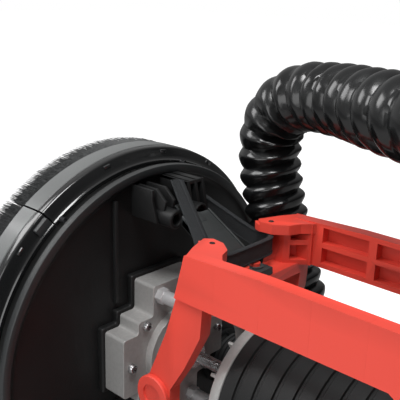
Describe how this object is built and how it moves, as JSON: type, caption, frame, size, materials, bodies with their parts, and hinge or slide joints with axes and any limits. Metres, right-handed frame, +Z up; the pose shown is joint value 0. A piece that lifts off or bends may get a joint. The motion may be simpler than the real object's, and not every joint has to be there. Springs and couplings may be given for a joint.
{
  "type": "long-reach wall and ceiling sander",
  "caption": "Long-reach drywall sander: brush-rimmed round head in a gimbal, red cage fork with motor, boom, rear grip and a corrugated suction hose.",
  "frame": {"origin": "centre of the abrasive face of the sanding disc", "axes": "+X along the disc axis from the sanding face towards the rear grip, +Z up, +Y towards the side the suction hose runs on"},
  "size_m": [1.092, 0.25, 0.3156],
  "materials": {
    "abrasive": "matte",
    "foam": "matte",
    "plastic_black": "matte",
    "gloss_black": "gloss",
    "steel": "satin",
    "cast_aluminium": "satin cast",
    "tube_aluminium": "anodised",
    "rubber": "matte",
    "hose_black": "gloss",
    "bristle": "matte",
    "red_plastic": "satin",
    "brass": "satin",
    "carbon": "matte",
    "board_green": "satin"
  },
  "bodies": {
    "pad": {"abrasive_disc": "abrasive", "foam_pad": "foam", "drive_plate": "plastic_black", "pad_screw": "steel", "spindle": "steel", "spindle_gear": "steel"},
    "layshaft": {"layshaft": "steel", "layshaft_wheel": "steel"},
    "input": {"input_pinion": "steel"},
    "head": {"gear_cover": "cast_aluminium", "gearbox_housing": "cast_aluminium", "spindle_bearings": "steel", "input_bearing": "steel", "gearbox_screws": "steel", "hood": "plastic_black", "strap_pins": "steel", "dust_port": "plastic_black", "hose_cuff_front": "rubber", "bracket_standoffs": "steel", "yaw_brackets": "cast_aluminium", "bracket_screws": "steel", "flex_shaft": "rubber", "centring_strap_upper": "rubber", "centring_strap_lower": "rubber", "suction_hose": "hose_black"},
    "rim": {"brush_rim": "gloss_black", "brush_bristles": "bristle", "rim_springs": "steel"},
    "segment": {"brush_segment": "gloss_black", "segment_bristles": "bristle"},
    "gimbal": {"gimbal_ring": "cast_aluminium", "gimbal_pins": "steel"},
    "root": {"fork_far": "red_plastic", "fork_near": "red_plastic", "fork_screws": "steel", "pivot_bushes": "brass", "motor_front_bell": "cast_aluminium", "motor_casing": "plastic_black", "bearing_bridge": "plastic_black", "motor_bearings": "steel", "stator": "steel", "brush_holders": "brass", "carbon_brushes": "carbon", "control_board": "board_green", "air_adapter": "plastic_black", "hose_cuff_rear": "rubber", "boom_tube": "tube_aluminium", "boom_sleeve": "foam", "grip_far": "red_plastic", "grip_near": "red_plastic", "switch_module": "plastic_black", "cable_gland": "rubber"},
    "armature": {"motor_shaft": "steel", "armature_core": "steel", "commutator": "brass", "cooling_fan": "plastic_black"},
    "trigger": {"trigger": "plastic_black"},
    "lock": {"lock_button": "red_plastic"},
    "dial": {"speed_dial": "plastic_black"},
    "port": {"vacuum_port": "plastic_black"}
  },
  "joints": [
    {"name": "head_pitch", "type": "hinge", "parent": "root", "child": "gimbal", "pos_m": [0.1, 0, 0], "axis": [0, 1, 0], "range_deg": [-12, 12], "stiffness_Nm_per_rad": 25, "deforming": ["centring_strap_upper", "centring_strap_lower", "suction_hose", "flex_shaft"]},
    {"name": "head_yaw", "type": "hinge", "parent": "gimbal", "child": "head", "pos_m": [0.1, 0, 0], "axis": [0, 0, 1], "range_deg": [-14, 14], "stiffness_Nm_per_rad": 25, "deforming": ["centring_strap_upper", "centring_strap_lower", "suction_hose", "flex_shaft"]},
    {"name": "pad_spin", "type": "hinge", "parent": "head", "child": "pad", "pos_m": [0, 0, 0], "axis": [1, 0, 0], "continuous": true},
    {"name": "layshaft_spin", "type": "hinge", "parent": "head", "child": "layshaft", "pos_m": [0, 0, 0.0252], "axis": [1, 0, 0], "continuous": true},
    {"name": "input_spin", "type": "hinge", "parent": "head", "child": "input", "pos_m": [0, 0, 0], "axis": [1, 0, 0], "continuous": true},
    {"name": "armature_spin", "type": "hinge", "parent": "root", "child": "armature", "pos_m": [0, 0, 0], "axis": [1, 0, 0], "continuous": true},
    {"name": "rim_float", "type": "slide", "parent": "head", "child": "rim", "axis": [1, 0, 0], "range_m": [0, 0.004], "stiffness_N_per_m": 600, "springref_m": -0.004, "deforming": ["rim_springs"]},
    {"name": "segment_pull", "type": "slide", "parent": "rim", "child": "segment", "axis": [0, -1, 0], "range_m": [0, 0.03]},
    {"name": "trigger_press", "type": "slide", "parent": "root", "child": "trigger", "axis": [0, 0, 1], "range_m": [0, 0.0045], "stiffness_N_per_m": 800},
    {"name": "lock_press", "type": "slide", "parent": "root", "child": "lock", "axis": [0, -1, 0], "range_m": [0, 0.002], "stiffness_N_per_m": 500},
    {"name": "dial_turn", "type": "hinge", "parent": "root", "child": "dial", "pos_m": [0.992, 0, -0.0306], "axis": [0, 1, 0], "range_deg": [0, 270]},
    {"name": "port_swivel", "type": "hinge", "parent": "root", "child": "port", "pos_m": [1.06, 0, 0], "axis": [1, 0, 0], "continuous": true}
  ],
  "couplings": [
    {"joint": "input_spin", "follows": "pad_spin", "ratio": 9},
    {"joint": "layshaft_spin", "follows": "pad_spin", "ratio": -3},
    {"joint": "armature_spin", "follows": "pad_spin", "ratio": 9}
  ]
}
